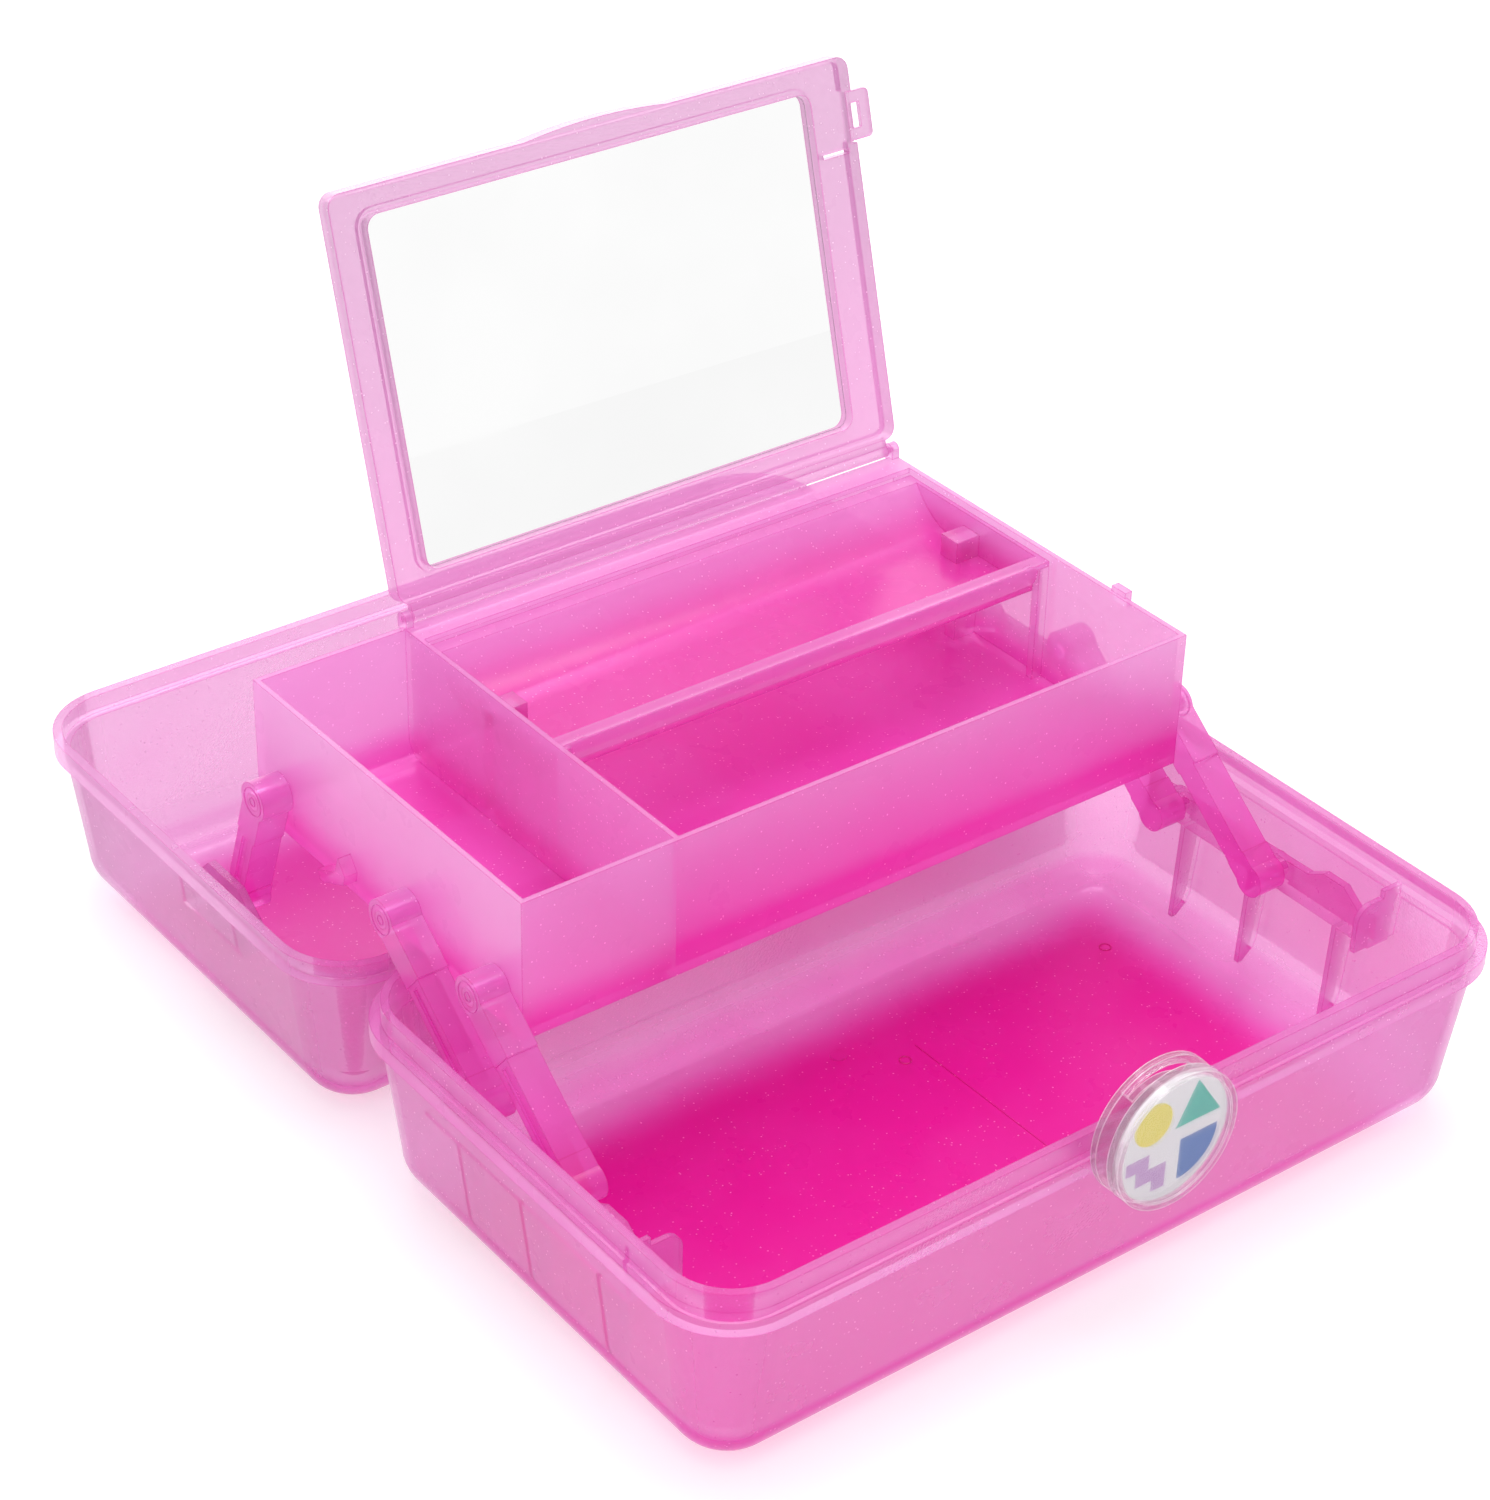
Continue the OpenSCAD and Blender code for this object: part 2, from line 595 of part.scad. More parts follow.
// Clear face over the insert.
module latch_lens() {
    color(clear_tint) placed() translate([0, -latch_back - latch_deep + 2.2, latch_z])
        rotate([90, 0, 0]) cylinder(d = latch_dia - 4.8, h = 1.8, $fn = 96);
}

// Steel pin that the latch turns on.
module latch_pin() {
    color(steel_tint) placed() translate([0, -latch_pin_y, latch_pin_z]) rotate([0, 90, 0])
        cylinder(r = 1.2, h = 28, center = true, $fn = 24);
}

// Folding handle in the lid's top, a bail with a thick grip.
module handle() {
    half = handle_l / 2;
    edge = handle_pivot_y - handle_reach;
    color(case_pink) placed() {
        translate([-half, edge, 1]) difference() {
            cube([handle_l, handle_reach, grip_t]);
            translate([11, 11, -1]) cube([handle_l - 22, handle_reach, grip_t + 2]);
        }
        for (s = [-1, 1]) translate([s * (half - 5.5), handle_pivot_y, handle_pivot_z]) rotate([0, 90, 0])
            cylinder(r = grip_t / 2, h = 11, center = true, $fn = 48);
        for (s = [-1, 1]) translate([s * (half + 1.5), handle_pivot_y, handle_pivot_z]) rotate([0, 90, 0])
            cylinder(r = 2.5, h = 7.4, center = true, $fn = 32);
    }
}

// Piece to draw, or all of them

base_shell();
lid_shell();
hinge_pin_left();
hinge_pin_right();
main_tray();
lift_out_trough();
cover_frame();
mirror_glass();
snap_clip();
front_arm_left();
front_arm_right();
rear_arm_left();
rear_arm_right();
lid_link_left();
lid_link_right();
latch_body();
latch_insert();
latch_lens();
latch_pin();
handle();
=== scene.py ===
import math

import bmesh
import bpy
from mathutils import Matrix, Vector


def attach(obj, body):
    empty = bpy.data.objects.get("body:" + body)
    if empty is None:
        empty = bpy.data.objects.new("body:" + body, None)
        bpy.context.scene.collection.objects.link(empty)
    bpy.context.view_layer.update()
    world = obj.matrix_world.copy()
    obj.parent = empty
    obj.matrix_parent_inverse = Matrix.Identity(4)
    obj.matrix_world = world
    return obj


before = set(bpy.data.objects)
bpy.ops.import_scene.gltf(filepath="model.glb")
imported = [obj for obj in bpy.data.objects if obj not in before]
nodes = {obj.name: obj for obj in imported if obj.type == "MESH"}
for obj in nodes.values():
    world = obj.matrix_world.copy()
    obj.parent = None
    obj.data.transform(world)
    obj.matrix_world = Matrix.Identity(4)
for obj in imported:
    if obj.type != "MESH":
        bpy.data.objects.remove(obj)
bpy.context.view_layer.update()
MM = 0.001
WHITE = (1, 1, 1, 1)

# ---------------------------------------------------------------- sizes, in millimetres
LATCH_Z = 73.0                               # middle of the latch above the table
INSERT_FACE = -112.5                         # front face of the latch's white insert
PRINT_T = 0.12                               # thickness of the printed shapes on the insert
ARM_FACE = 151.8                             # outer faces of the arms and links, from the case's middle
FRONT_TOP = (50.7, 93.5)                     # front arm's upper pivot, back and up
FRONT_TOE = (-3.0, 50.4)                     # front arm's lower pivot
REAR_TOP = (101.7, 93.5)                     # rear arm's upper pivot
LINK_TOP = (182.0, 95.7)                     # lid link's pivot on the tray
STEP_SHARES = (0.34, 0.86)                   # places of the step lines along an arm, from its upper pivot
FLOOR_LINE = ((26.0, 39.2), (26.8, -30.1))   # back and front end of the line on the base's floor
FLOOR_RINGS = ((119.7, 44.2), (17.7, 34.6))  # middles of the rings on it
BASE_FLOOR = 2.5                             # top of the base's floor
DIVIDER_LEFT = -79.9                         # left face of the tray's divider
TRAY_FRONT = 42.5                            # just behind the tray's front wall
FRONT_FADE = 140.0                           # height at which the painted shade on the tray's front wall has faded out
TUB_FOOT = 12.0                              # height below which a shell is tub wall and floor alone
DIM_SIDES = 40.0                             # reach of a tub's plan past its left and front walls
LIT_EDGE = (13.0, 44.0)                      # distance from a lit wall where its light fades, from and to
LIT_CORNER = 16.0                            # rounding of the lit border in the corner
EDGE_REACH = 0.7                             # reach of the deeper or whiter colour beside an edge
CUT_EDGE = 0.8                               # the same for the mirror's dark cut edge

COVER_LEAN = 15.3                            # backward lean of the raised cover, degrees

# glitter: its cells in a metre, the random number above which a cell has a flake, a flake's radius in cells
GLITTER_CELLS, GLITTER_PICK, GLITTER_RADIUS = 1150.0, 0.955, 0.36
FULL_EDGE = 0.87                             # cosine of the bend at which an edge counts in full
TABLE_WHITE = 0.97                           # the table as mirrors and clear plastic show it

ARM_NODES = ("front_arm_left", "front_arm_right", "rear_arm_left", "rear_arm_right",
             "lid_link_left", "lid_link_right")
COVER_NODES = ("cover_frame", "snap_clip")
STEEL_NODES = ("hinge_pin_left", "hinge_pin_right", "latch_pin")

# name, place and size in metres, and power in watts
LAMPS = (("lamp_above", (0.15, 0.25, 1.7), 1.2, 22.0),
         ("lamp_behind", (0.5, 1.9, 0.8), 1.8, 13.5),
         ("lamp_left", (-1.7, -0.2, 0.9), 1.0, 5.0))
LAMP_AIM = (0, 0.05, 0.05)
SKY_LIGHT = 0.60                             # strength of the white light from all sides
TABLE_RADIUS = 7.0                           # metres
TABLE_DROP = 0.0003                          # gap under the case in metres, so that the faces don't meet


# ---------------------------------------------------------------- helpers for node trees
class Nodes:
    """A node tree, with short calls that add a node and wire it."""

    def __init__(self, tree):
        self.tree = tree

    def add(self, kind, settings=None, **inputs):
        """Adds a node. An input's key is its name with _ for a space, or i and its number."""
        node = self.tree.nodes.new(kind)
        for key, value in (settings or {}).items():
            setattr(node, key, value)
        for key, value in inputs.items():
            self.put(node, key.replace("_", " "), value)
        return node

    def put(self, node, socket, value):
        target = node.inputs[int(socket[1:])] if socket[1:].isdigit() else node.inputs[socket]
        if isinstance(value, bpy.types.NodeSocket):
            self.tree.links.new(value, target)
        else:
            target.default_value = value

    def math(self, operation, first, second=0.0, clamp=False):
        settings = {"operation": operation, "use_clamp": clamp}
        return self.add("ShaderNodeMath", settings, i0=first, i1=second).outputs[0]


class Surface(Nodes):
    """The node tree of a material or a world."""

    def __init__(self, owner):
        self.owner = owner
        owner.use_nodes = True
        super().__init__(owner.node_tree)
        self.tree.nodes.clear()

    def span(self, value, low, high, to_low=0.0, to_high=1.0):
        """Maps value from low..high to to_low..to_high with soft ends."""
        settings = {"interpolation_type": "SMOOTHSTEP"}
        node = self.add("ShaderNodeMapRange", settings, i0=value, i1=low, i2=high, i3=to_low, i4=to_high)
        return node.outputs[0]

    def colours(self, share, first, second):
        return self.add("ShaderNodeMix", {"data_type": "RGBA"}, i0=share, i6=first, i7=second).outputs[2]

    def blend(self, share, first, second):
        return self.add("ShaderNodeMixShader", i0=share, i1=first, i2=second).outputs[0]

    def dot(self, first, second):
        node = self.add("ShaderNodeVectorMath", {"operation": "DOT_PRODUCT"}, i0=first, i1=second)
        return node.outputs["Value"]

    def edges(self, radius, flat):
        """1 on edges within radius in millimetres, and 0 where the surface bends less than flat."""
        bent = self.add("ShaderNodeBevel", {"samples": 3}, Radius=radius * MM).outputs[0]
        straight = self.add("ShaderNodeNewGeometry").outputs["True Normal"]
        return self.span(self.dot(bent, straight), flat, FULL_EDGE)

    def place(self):
        return self.add("ShaderNodeTexCoord").outputs["Object"]

    def noise(self, place, scale, detail, roughness=0.5):
        node = self.add("ShaderNodeTexNoise", Vector=place, Scale=scale, Detail=detail, Roughness=roughness)
        return node.outputs[0]

    def bump(self, height, strength, distance):
        return self.add("ShaderNodeBump", Strength=strength, Distance=distance, Height=height).outputs[0]

    def finish(self, surface, output="ShaderNodeOutputMaterial"):
        self.add(output, Surface=surface)
        return self.owner


def new_surface(name):
    return Surface(bpy.data.materials.new(name))


def rgb(red, green, blue):
    """Linear colour of a screen colour given as three numbers from 0 to 255."""
    def linear(value):
        value = value / 255
        return value / 12.92 if value <= 0.04045 else ((value + 0.055) / 1.055) ** 2.4
    return (linear(red), linear(green), linear(blue), 1.0)


# ---------------------------------------------------------------- materials
def wall_light(t, across, middle, half):
    """Share of light that reaches a tub's floor from its walls: 1 at them, 0 well inside."""
    inward = []
    for axis in (0, 1):
        off = t.math("ABSOLUTE", t.math("SUBTRACT", across[axis], middle[axis]))
        inward.append(t.math("SUBTRACT", half[axis], off))
    settings = {"operation": "SMOOTH_MIN"}
    near = t.add("ShaderNodeMath", settings, i0=inward[0], i1=inward[1], i2=LIT_CORNER * MM).outputs[0]
    fade_from, fade_to = LIT_EDGE
    return t.span(near, fade_from * MM, fade_to * MM, 1.0, 0.0)


def pink_plastic(name, low, high, deep, pale, sheen=0.3, tub=None, shaded_front=None):
    """Frosted translucent plastic with fine glitter.

    It is deep at height low and pale at height high. Deep and pale each give the body's colour, the
    tint that one face lets through, and the cover, the share of a face that hides what is behind.
    A tub, given as the middle and half size of its plan, has a floor that light from its back and
    right walls reaches: the deep colour starts in from them with a soft edge. A shaded front, given as
    its left end, rear face and top, is a stretch of wall with painted shade, where the deep colour
    rises higher.
    """
    deep_body, deep_tint, deep_cover = deep
    pale_body, pale_tint, pale_cover = pale
    t = new_surface(name)
    place = t.place()
    x, y, height = t.add("ShaderNodeSeparateXYZ", Vector=place).outputs

    # 0 where the plastic is deep, 1 where it is pale
    rise = t.span(height, low * MM, high * MM)
    # painted shade on a front wall: right of its left end and before its rear face, the colour is deeper
    # low down and fades out towards its top
    if shaded_front:
        left, rear, top = shaded_front
        right_of = t.math("GREATER_THAN", x, left * MM)
        before = t.math("LESS_THAN", y, rear * MM)
        shade = t.span(height, low * MM, top * MM, 0.6, 0.0)
        shade = t.math("MULTIPLY", t.math("MULTIPLY", right_of, before), shade)
        rise = t.math("SUBTRACT", rise, shade, clamp=True)
    if tub:
        rise = t.math("MAXIMUM", rise, t.math("MULTIPLY", wall_light(t, (x, y), *tub), 0.86))
    cloud = t.noise(place, 22.0, 3.0)
    rise = t.math("ADD", rise, t.span(cloud, 0.3, 0.7, -0.05, 0.05), clamp=True)

    flakes = t.add("ShaderNodeTexVoronoi", {"feature": "F1"}, Vector=place, Scale=GLITTER_CELLS).outputs
    pick = t.add("ShaderNodeSeparateColor", Color=flakes["Color"]).outputs
    chosen = t.math("GREATER_THAN", pick[0], GLITTER_PICK)
    small = t.math("LESS_THAN", flakes["Distance"], GLITTER_RADIUS)
    strength = t.span(pick[1], 0.0, 1.0, 0.1, 0.5)
    flake = t.math("MULTIPLY", t.math("MULTIPLY", chosen, small), strength)

    # edges, where light travels a long way inside the wall, are deeper
    rim = t.edges(EDGE_REACH, 0.99)

    body = t.colours(rise, deep_body, pale_body)
    body = t.colours(t.math("MULTIPLY", rim, 0.7), body, rgb(222, 36, 160))
    body = t.colours(flake, body, rgb(255, 232, 250))
    tint = t.colours(rise, deep_tint, pale_tint)
    tint = t.colours(t.math("MULTIPLY", rim, 0.9), tint, (0.94, 0.32, 0.79, 1))
    cover = t.span(rise, 0.0, 1.0, deep_cover, pale_cover)
    cover = t.math("ADD", cover, t.math("MULTIPLY", flake, 0.5), clamp=True)

    bump = t.bump(t.noise(place, 900.0, 2.0), 0.05, 0.0002)
    rough = t.span(t.noise(place, 60.0, 4.0), 0.3, 0.7, sheen - 0.04, sheen + 0.06)

    solid = t.add("ShaderNodeBsdfPrincipled", Base_Color=body, Roughness=rough, IOR=1.49, Normal=bump)
    glow = t.add("ShaderNodeBsdfTranslucent", Color=body, Normal=bump)
    see = t.add("ShaderNodeBsdfTransparent", Color=tint)
    skin = t.blend(0.5, solid.outputs[0], glow.outputs[0])
    wall = t.blend(cover, see.outputs[0], skin)
    shine = t.add("ShaderNodeBsdfAnisotropic", Color=WHITE, Roughness=sheen, Normal=bump)
    fresnel = t.add("ShaderNodeFresnel", IOR=1.4, Normal=bump).outputs[0]
    return t.finish(t.blend(t.math("MULTIPLY", fresnel, 0.55), wall, shine.outputs[0]))


def clear_plastic(name, plain, haze):
    """Polished clear plastic with faint handling scratches in its gloss.

    Its plain share lets light straight through, and haze is the share of white in its flat faces.
    """
    t = new_surface(name)
    smear = t.noise(t.place(), 350.0, 5.0, 0.7)
    rough = t.span(smear, 0.35, 0.75, 0.015, 0.07)
    glass = t.add("ShaderNodeBsdfPrincipled", Base_Color=(0.98, 0.97, 0.98, 1), Roughness=rough, IOR=1.46,
                  Transmission_Weight=1.0)
    see = t.add("ShaderNodeBsdfTransparent", Color=(0.985, 0.975, 0.985, 1))
    clear = t.blend(plain, glass.outputs[0], see.outputs[0])
    # light gathers in the edges, which look white
    rim = t.span(t.edges(EDGE_REACH, 0.995), 0.0, 1.0, haze, 0.85)
    white = t.add("ShaderNodeBsdfPrincipled", Base_Color=(0.97, 0.95, 0.965, 1), Roughness=0.12, IOR=1.46)
    return t.finish(t.blend(rim, clear, white.outputs[0]))


def printed_card(name, colour):
    """Matt printed card with a faint paper grain."""
    t = new_surface(name)
    fibre = t.noise(t.place(), 1500.0, 3.0)
    darker = [channel * 0.82 for channel in colour[:3]] + [1.0]
    ink = t.colours(t.span(fibre, 0.3, 0.7, 0.0, 0.12), colour, darker)
    bump = t.bump(fibre, 0.1, 0.00005)
    card = t.add("ShaderNodeBsdfPrincipled", Base_Color=ink, Roughness=0.55, Normal=bump)
    return t.finish(card.outputs[0])


def silvered_glass():
    """Mirror with a faint smear in its polish, dark cut edges, and grey backing paint on its rear face."""
    t = new_surface("mirror_silver")
    place = t.place()
    smear = t.noise(place, 14.0, 3.0)
    rough = t.span(smear, 0.4, 0.75, 0.0, 0.03)
    tone = t.colours(t.span(smear, 0.3, 0.7), (0.955, 0.955, 0.955, 1), (0.98, 0.98, 0.98, 1))
    glass = t.add("ShaderNodeBsdfPrincipled", Base_Color=tone, Roughness=rough, Metallic=1.0)
    paint = t.colours(t.noise(place, 420.0, 3.0), (0.50, 0.49, 0.51, 1), (0.62, 0.61, 0.63, 1))
    back = t.add("ShaderNodeBsdfPrincipled", Base_Color=paint, Roughness=0.6)
    # the raised cover leans back, so its face looks forward and a little up
    lean = math.radians(COVER_LEAN)
    facing = t.dot(t.add("ShaderNodeTexCoord").outputs["Normal"], (0.0, -math.cos(lean), math.sin(lean)))
    front = t.math("GREATER_THAN", facing, 0.3)
    cut = t.add("ShaderNodeBsdfPrincipled", Base_Color=(0.16, 0.17, 0.18, 1), Roughness=0.25)
    face = t.blend(t.edges(CUT_EDGE, 0.99), glass.outputs[0], cut.outputs[0])
    return t.finish(t.blend(front, back.outputs[0], face))


def drawn_steel():
    """Steel rod with drawing lines along X."""
    t = new_surface("drawn_steel")
    place = t.add("ShaderNodeMapping", Vector=t.place(), Scale=(40.0, 4000.0, 4000.0)).outputs[0]
    lines = t.noise(place, 1.0, 2.0)
    rough = t.span(lines, 0.3, 0.7, 0.22, 0.42)
    tone = t.colours(lines, (0.55, 0.56, 0.58, 1), (0.72, 0.73, 0.75, 1))
    rod = t.add("ShaderNodeBsdfPrincipled", Base_Color=tone, Roughness=rough, Metallic=1.0)
    return t.finish(rod.outputs[0])


def table_top():
    """White table: takes the case's shadow, and shows pure white where nothing shades it."""
    t = new_surface("white_table")
    place = t.place()
    white = t.colours(t.noise(place, 30.0, 2.0), (0.86, 0.86, 0.86, 1), (0.88, 0.88, 0.88, 1))
    matt = t.add("ShaderNodeBsdfDiffuse", Color=white).outputs[0]
    shown = t.add("ShaderNodeBsdfDiffuse", Color=(0.60, 0.60, 0.60, 1)).outputs[0]
    # the table is carried on by light of its own where the lamps no longer reach it
    away = t.add("ShaderNodeVectorMath", {"operation": "LENGTH"}, Vector=place).outputs["Value"]
    lift = t.add("ShaderNodeEmission", Color=WHITE, Strength=t.span(away, 0.5, 1.8, 0.50, 0.85)).outputs[0]
    lit = t.add("ShaderNodeAddShader", i0=shown, i1=lift).outputs[0]
    far = t.add("ShaderNodeEmission", Color=WHITE, Strength=TABLE_WHITE).outputs[0]
    path = t.add("ShaderNodeLightPath").outputs
    mirrored = t.math("MAXIMUM", path["Is Glossy Ray"], path["Is Transmission Ray"])
    return t.finish(t.blend(mirrored, t.blend(path["Is Camera Ray"], matt, lit), far))


# ---------------------------------------------------------------- meshes
def mesh_piece(name, mesh, material, body):
    piece = bpy.data.objects.new(name, mesh)
    bpy.context.scene.collection.objects.link(piece)
    mesh.materials.clear()
    mesh.materials.append(material)
    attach(piece, body)
    return piece


def printed_shape(name, outline, material):
    """Thin printed shape on the insert's face, with its outline across and up from the insert's middle."""
    bm = bmesh.new()
    front = [bm.verts.new((x * MM, (INSERT_FACE - PRINT_T) * MM, (z + LATCH_Z) * MM)) for x, z in outline]
    back = [bm.verts.new((x * MM, INSERT_FACE * MM, (z + LATCH_Z) * MM)) for x, z in outline]
    bm.faces.new(front)
    bm.faces.new(back[::-1])
    for i in range(len(outline)):
        j = (i + 1) % len(outline)
        bm.faces.new((front[i], back[i], back[j], front[j]))
    # the cut into triangles needs the faces' normals
    bm.normal_update()
    bmesh.ops.triangulate(bm, faces=bm.faces[:], ngon_method="EAR_CLIP")
    bmesh.ops.recalc_face_normals(bm, faces=bm.faces[:])
    mesh = bpy.data.meshes.new(name)
    bm.to_mesh(mesh)
    bm.free()
    return mesh_piece(name, mesh, material, "latch")


def arc(x, z, radius, start, stop, steps=40):
    turns = [math.radians(start + (stop - start) * i / steps) for i in range(steps + 1)]
    return [(x + radius * math.cos(a), z + radius * math.sin(a)) for a in turns]


def latch_print():
    """Plain shapes on the latch's insert."""
    disc = arc(-9, 9, 7.8, 0, 360)[:-1]
    triangle = [(1, 3), (19.5, 3), (9, 18.5)]
    steps = [(-19, -2.5), (-9.5, -2.5), (-9.5, -8.5), (-2, -8.5), (-2, -18), (-7.5, -18), (-7.5, -13.5),
             (-14.5, -13.5), (-14.5, -7.5), (-19, -7.5)]
    quarter = [(3.5, -2.5)] + arc(3.5, -2.5, 15.5, 270, 360)
    printed_shape("print_disc", disc, printed_card("yellow_print", rgb(247, 232, 104)))
    printed_shape("print_triangle", triangle, printed_card("teal_print", rgb(64, 190, 172)))
    printed_shape("print_steps", steps, printed_card("lilac_print", rgb(205, 160, 214)))
    printed_shape("print_quarter", quarter, printed_card("blue_print", rgb(64, 112, 190)))


# ---------------------------------------------------------------- moulded marks
class Shape(Nodes):
    """A Geometry Nodes tree on a mesh of points, with named inputs for its sizes."""

    def __init__(self, name, **sizes):
        super().__init__(bpy.data.node_groups.new(name, "GeometryNodeTree"))
        interface = self.tree.interface
        interface.new_socket(name="Geometry", in_out="INPUT", socket_type="NodeSocketGeometry")
        self.sizes = {}
        for key, value in sizes.items():
            size = interface.new_socket(name=key, in_out="INPUT", socket_type="NodeSocketFloat")
            self.sizes[size.identifier] = value
        interface.new_socket(name="Geometry", in_out="OUTPUT", socket_type="NodeSocketGeometry")
        self.given = self.add("NodeGroupInput").outputs

    def circle(self, radius, corners):
        node = self.add("GeometryNodeCurvePrimitiveCircle", Resolution=corners, Radius=radius)
        return node.outputs["Curve"]

    def line(self, **ends):
        return self.add("GeometryNodeCurvePrimitiveLine", **ends).outputs["Curve"]

    def point(self, **places):
        return self.add("ShaderNodeCombineXYZ", **places).outputs[0]

    def round_bar(self, route):
        """Round bar along a curve, with the tree's input Thickness as its radius."""
        profile = self.circle(self.given["Thickness"], 10)
        bar = self.add("GeometryNodeCurveToMesh", Curve=route, Profile_Curve=profile, Fill_Caps=True)
        return bar.outputs["Mesh"]

    def repeat(self, piece, turn=(0, 0, 0)):
        """The piece, turned, at every point of the mesh that the tree is given."""
        return self.add("GeometryNodeInstanceOnPoints", Points=self.given["Geometry"], Instance=piece,
                        Rotation=turn).outputs["Instances"]

    def finish(self, geometry, material):
        whole = self.add("GeometryNodeRealizeInstances", Geometry=geometry).outputs["Geometry"]
        smooth = self.add("GeometryNodeSetShadeSmooth", Geometry=whole).outputs[0]
        coated = self.add("GeometryNodeSetMaterial", Geometry=smooth, Material=material).outputs["Geometry"]
        self.add("NodeGroupOutput", Geometry=coated)

    def grow(self, name, points, material, body):
        """Runs the tree on points in millimetres, and keeps the result as a plain mesh on a body."""
        seed = bpy.data.meshes.new(name + "_points")
        seed.from_pydata([[c * MM for c in point] for point in points], [], [])
        carrier = bpy.data.objects.new(name + "_points", seed)
        bpy.context.scene.collection.objects.link(carrier)
        modifier = carrier.modifiers.new("shape", "NODES")
        modifier.node_group = self.tree
        for identifier, value in self.sizes.items():
            modifier[identifier] = value
        evaluated = carrier.evaluated_get(bpy.context.evaluated_depsgraph_get())
        mesh = bpy.data.meshes.new_from_object(evaluated)
        mesh.name = name
        bpy.data.objects.remove(carrier)
        return mesh_piece(name, mesh, material, body)


def pivot_rings(material):
    """Moulded rings around the pivots, on the outer faces of the arms and links."""
    ring = Shape("pivot_ring", Outer=5.3 * MM, Inner=1.6 * MM, Thickness=0.32 * MM)
    both = ring.add("GeometryNodeJoinGeometry")
    for size in ("Outer", "Inner"):
        ring.put(both, "Geometry", ring.round_bar(ring.circle(ring.given[size], 48)))
    ring.finish(ring.repeat(both.outputs["Geometry"], (0, math.pi / 2, 0)), material)
    for name, body, top in (("front_arm_rings", "front_arms", FRONT_TOP),
                            ("rear_arm_rings", "rear_arms", REAR_TOP),
                            ("lid_link_rings", "lid_links", LINK_TOP)):
        ring.grow(name, [(side * ARM_FACE, *top) for side in (-1, 1)], material, body)


def step_lines(material):
    """Step lines across the outer faces of the swing arms. Each reaches as far to both sides."""
    run = Vector(FRONT_TOE) - Vector(FRONT_TOP)
    step = Shape("step_line", Reach=4.4 * MM, Thickness=0.24 * MM)
    reach = step.given["Reach"]
    route = step.line(Start=step.point(Y=reach), End=step.point(Y=step.math("MULTIPLY", reach, -1)))
    across = (math.atan2(run.y, run.x) + math.pi / 2, 0, 0)
    step.finish(step.repeat(step.round_bar(route), across), material)
    for name, body, top in (("front_arm_steps", "front_arms", FRONT_TOP),
                            ("rear_arm_steps", "rear_arms", REAR_TOP)):
        middles = [Vector(top) + share * run for share in STEP_SHARES]
        places = [(side * ARM_FACE, *middle) for side in (-1, 1) for middle in middles]
        step.grow(name, places, material, body)


def floor_marks(material):
    """Moulding marks on the base's floor: a long low line and two small rings."""
    (back_x, back_y), (front_x, front_y) = FLOOR_LINE
    length = math.hypot(back_x - front_x, back_y - front_y)
    turn = math.atan2(front_y - back_y, front_x - back_x)
    line = Shape("floor_line", Length=length * MM, Thickness=0.22 * MM)
    bar = line.round_bar(line.line(End=line.point(X=line.given["Length"])))
    line.finish(line.repeat(bar, (0, 0, turn)), material)
    line.grow("base_floor_line", [(back_x, back_y, BASE_FLOOR)], material, "base")
    mark = Shape("floor_mark", Radius=2.1 * MM, Thickness=0.3 * MM)
    mark.finish(mark.repeat(mark.round_bar(mark.circle(mark.given["Radius"], 32))), material)
    mark.grow("base_floor_rings", [(*spot, BASE_FLOOR) for spot in FLOOR_RINGS], material, "base")


# ---------------------------------------------------------------- dressing
def dress(names, material):
    for name in names:
        slots = nodes[name].data.materials
        if not slots:
            slots.append(material)
        for i in range(len(slots)):
            slots[i] = material


def tub_plan(node):
    """Middle and half size of a shell's floor plan, in metres.

    It is carried on past the left and front walls, which send the floor no light.
    """
    points = [v.co for v in nodes[node].data.vertices if v.co.z < TUB_FOOT * MM]
    middle, half = [], []
    for axis in (0, 1):
        low = min(p[axis] for p in points) - DIM_SIDES * MM
        high = max(p[axis] for p in points)
        middle.append((low + high) / 2)
        half.append((high - low) / 2)
    return middle, half


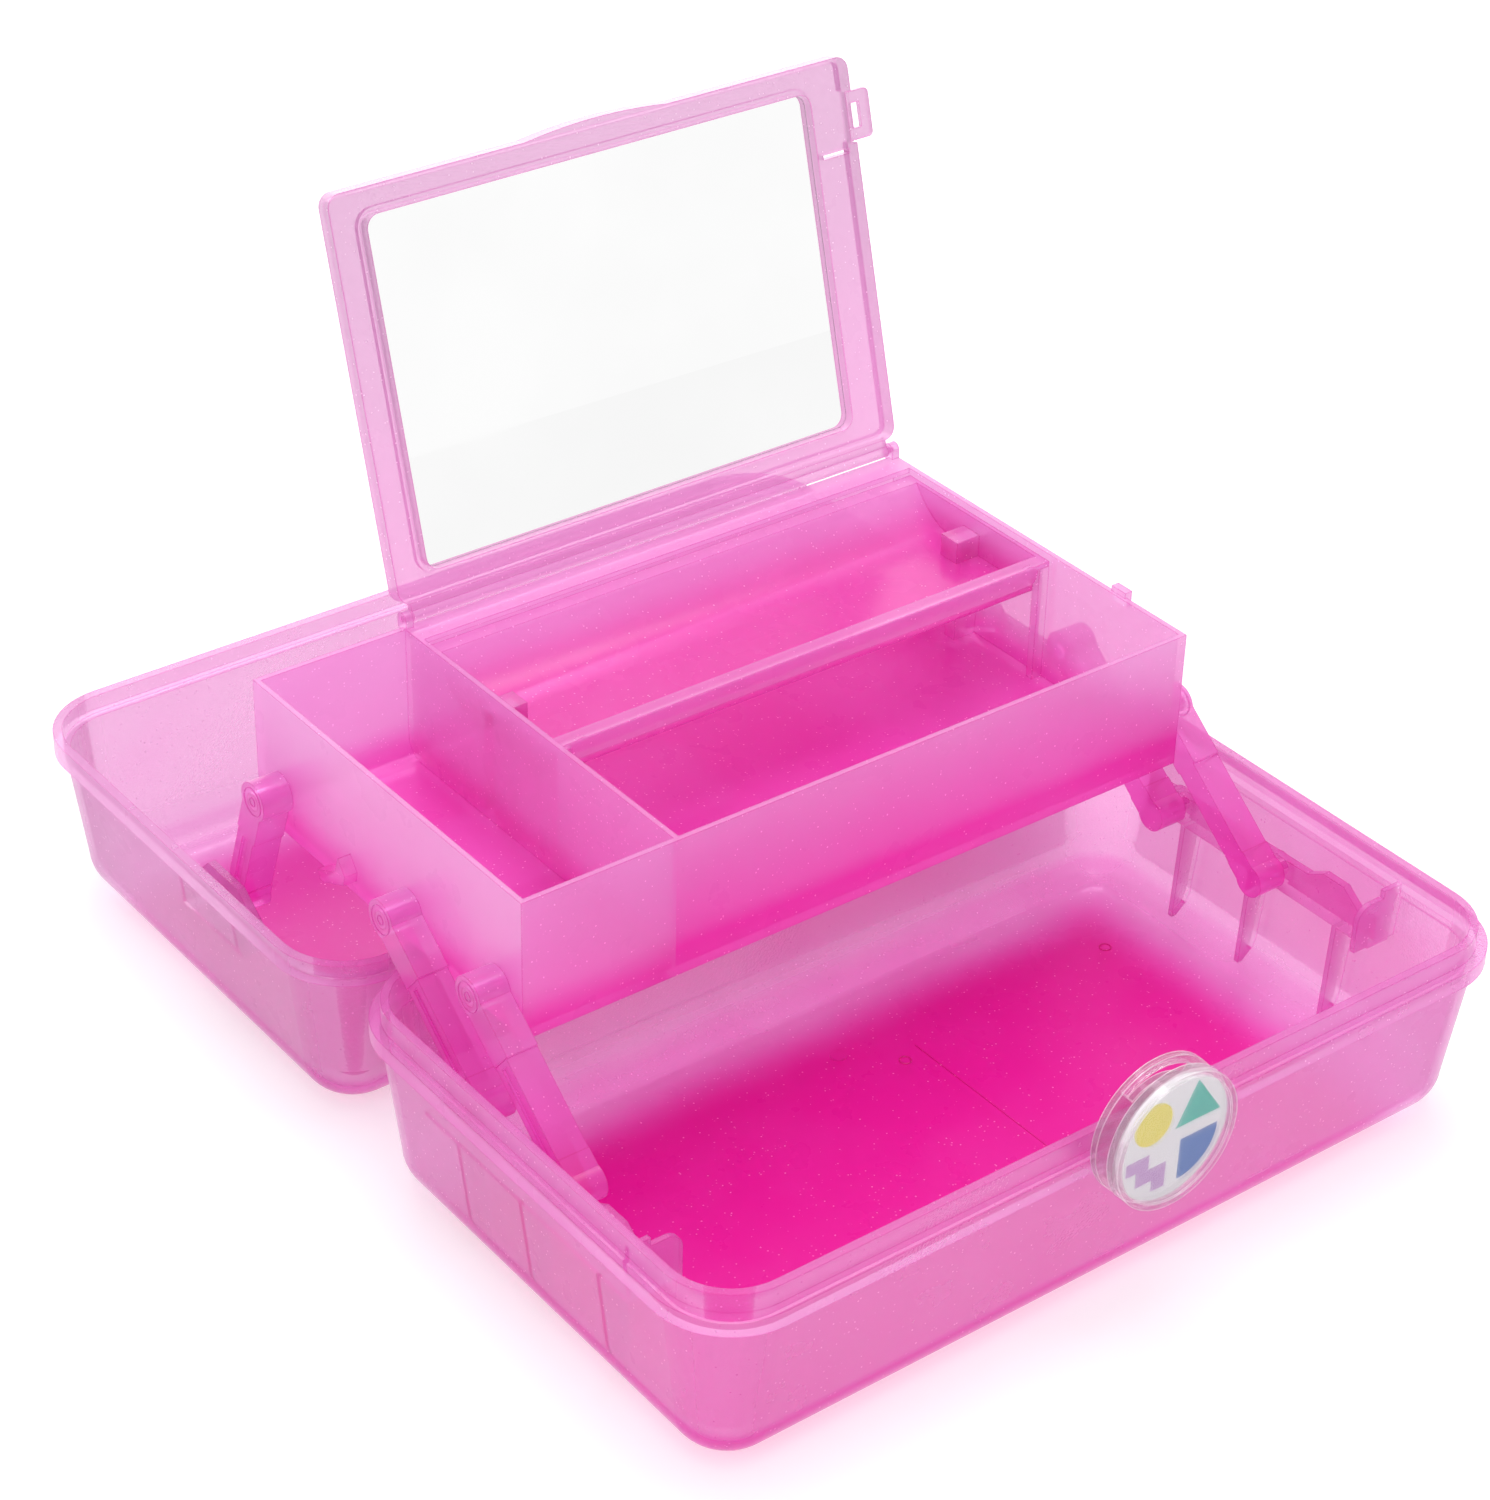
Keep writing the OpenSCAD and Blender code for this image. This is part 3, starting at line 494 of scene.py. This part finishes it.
def dress_case():
    base = pink_plastic("base_pink", 2, 9,
                        deep=(rgb(236, 0, 162), (0.98, 0.24, 0.84, 1), 0.58),
                        pale=(rgb(242, 120, 211), (0.997, 0.83, 0.97, 1), 0.31),
                        tub=tub_plan("base_shell"))
    lid = pink_plastic("lid_pink", 2, 9,
                       deep=(rgb(224, 6, 162), (0.975, 0.36, 0.85, 1), 0.56),
                       pale=(rgb(224, 130, 203), (0.993, 0.85, 0.965, 1), 0.33),
                       tub=tub_plan("lid_shell"))
    tray = pink_plastic("tray_pink", 79, 97,
                        deep=(rgb(254, 92, 210), (0.995, 0.58, 0.93, 1), 0.50),
                        pale=(rgb(254, 192, 242), (0.998, 0.84, 0.97, 1), 0.37),
                        # painted shade on the tray's front wall, right of the divider, fading out by
                        # FRONT_FADE
                        shaded_front=(DIVIDER_LEFT, TRAY_FRONT, FRONT_FADE))
    trough = pink_plastic("trough_pink", 114, 127,
                          deep=(rgb(238, 76, 190), (0.995, 0.58, 0.92, 1), 0.50),
                          pale=(rgb(252, 176, 236), (0.998, 0.82, 0.965, 1), 0.37),
                          sheen=0.24)
    arm = pink_plastic("arm_pink", 30, 110,
                       deep=(rgb(255, 84, 214), (0.998, 0.54, 0.92, 1), 0.34),
                       pale=(rgb(255, 172, 238), (1.0, 0.74, 0.95, 1), 0.32))
    cover = pink_plastic("cover_pink", 130, 280,
                         deep=(rgb(244, 172, 228), (0.99, 0.87, 0.96, 1), 0.46),
                         pale=(rgb(210, 148, 197), (0.99, 0.88, 0.96, 1), 0.42))
    dress(("base_shell",), base)
    dress(("lid_shell", "handle"), lid)
    dress(("main_tray",), tray)
    dress(("lift_out_trough",), trough)
    dress(ARM_NODES, arm)
    pivot_rings(arm)
    step_lines(arm)
    floor_marks(base)
    dress(COVER_NODES, cover)
    dress(("mirror_glass",), silvered_glass())
    dress(("latch_body",), clear_plastic("clear_latch_plastic", 0.62, 0.05))
    dress(("latch_lens",), clear_plastic("clear_latch_face", 0.86, 0.0))
    dress(("latch_insert",), printed_card("white_card", rgb(246, 244, 246)))
    dress(STEEL_NODES, drawn_steel())


# ---------------------------------------------------------------- studio
def studio():
    sky = Surface(bpy.data.worlds.new("studio_light"))
    path = sky.add("ShaderNodeLightPath").outputs
    shown = sky.math("MAXIMUM", path["Is Camera Ray"], path["Is Glossy Ray"])
    shown = sky.math("MAXIMUM", shown, path["Is Transmission Ray"])
    soft = sky.add("ShaderNodeBackground", Color=WHITE, Strength=SKY_LIGHT)
    white = sky.add("ShaderNodeBackground", Color=WHITE, Strength=1.0)
    mix = sky.blend(shown, soft.outputs[0], white.outputs[0])
    bpy.context.scene.world = sky.finish(mix, "ShaderNodeOutputWorld")

    bm = bmesh.new()
    bmesh.ops.create_circle(bm, cap_ends=True, radius=TABLE_RADIUS, segments=96)
    mesh = bpy.data.meshes.new("table_top")
    bm.to_mesh(mesh)
    bm.free()
    mesh.materials.append(table_top())
    table = bpy.data.objects.new("table_top", mesh)
    table.location = (0, 0, -TABLE_DROP)
    bpy.context.scene.collection.objects.link(table)

    for name, place, size, power in LAMPS:
        data = bpy.data.lights.new(name, "AREA")
        data.shape = "SQUARE"
        data.size = size
        data.energy = power
        lamp = bpy.data.objects.new(name, data)
        lamp.location = place
        lamp.rotation_euler = (Vector(LAMP_AIM) - Vector(place)).to_track_quat("-Z", "Y").to_euler()
        bpy.context.scene.collection.objects.link(lamp)


def camera():
    """Camera at the photograph's angle: its direction from the case, and its turn about its own axis."""
    azimuth, elevation, roll = (math.radians(value) for value in (-37.91, 32.81, 1.44))
    place = (-0.64727, -0.72397, 0.77868)
    back = Vector((math.sin(azimuth) * math.cos(elevation), -math.cos(azimuth) * math.cos(elevation),
                   math.sin(elevation)))
    right = Vector((math.cos(azimuth), math.sin(azimuth), 0))
    up = back.cross(right)
    side = math.cos(roll) * right + math.sin(roll) * up
    head = math.cos(roll) * up - math.sin(roll) * right
    data = bpy.data.cameras.new("camera")
    data.sensor_fit = "HORIZONTAL"
    data.sensor_width = 36.0
    data.lens = 87.83
    data.clip_start = 0.05
    data.clip_end = 30.0
    cam = bpy.data.objects.new("camera", data)
    turn = Matrix((side, head, back)).transposed().to_4x4()
    cam.matrix_world = Matrix.Translation(place) @ turn
    bpy.context.scene.collection.objects.link(cam)
    bpy.context.scene.camera = cam


def colour_management():
    bpy.context.scene.view_settings.view_transform = "Standard"


camera()
studio()
colour_management()
dress_case()
latch_print()
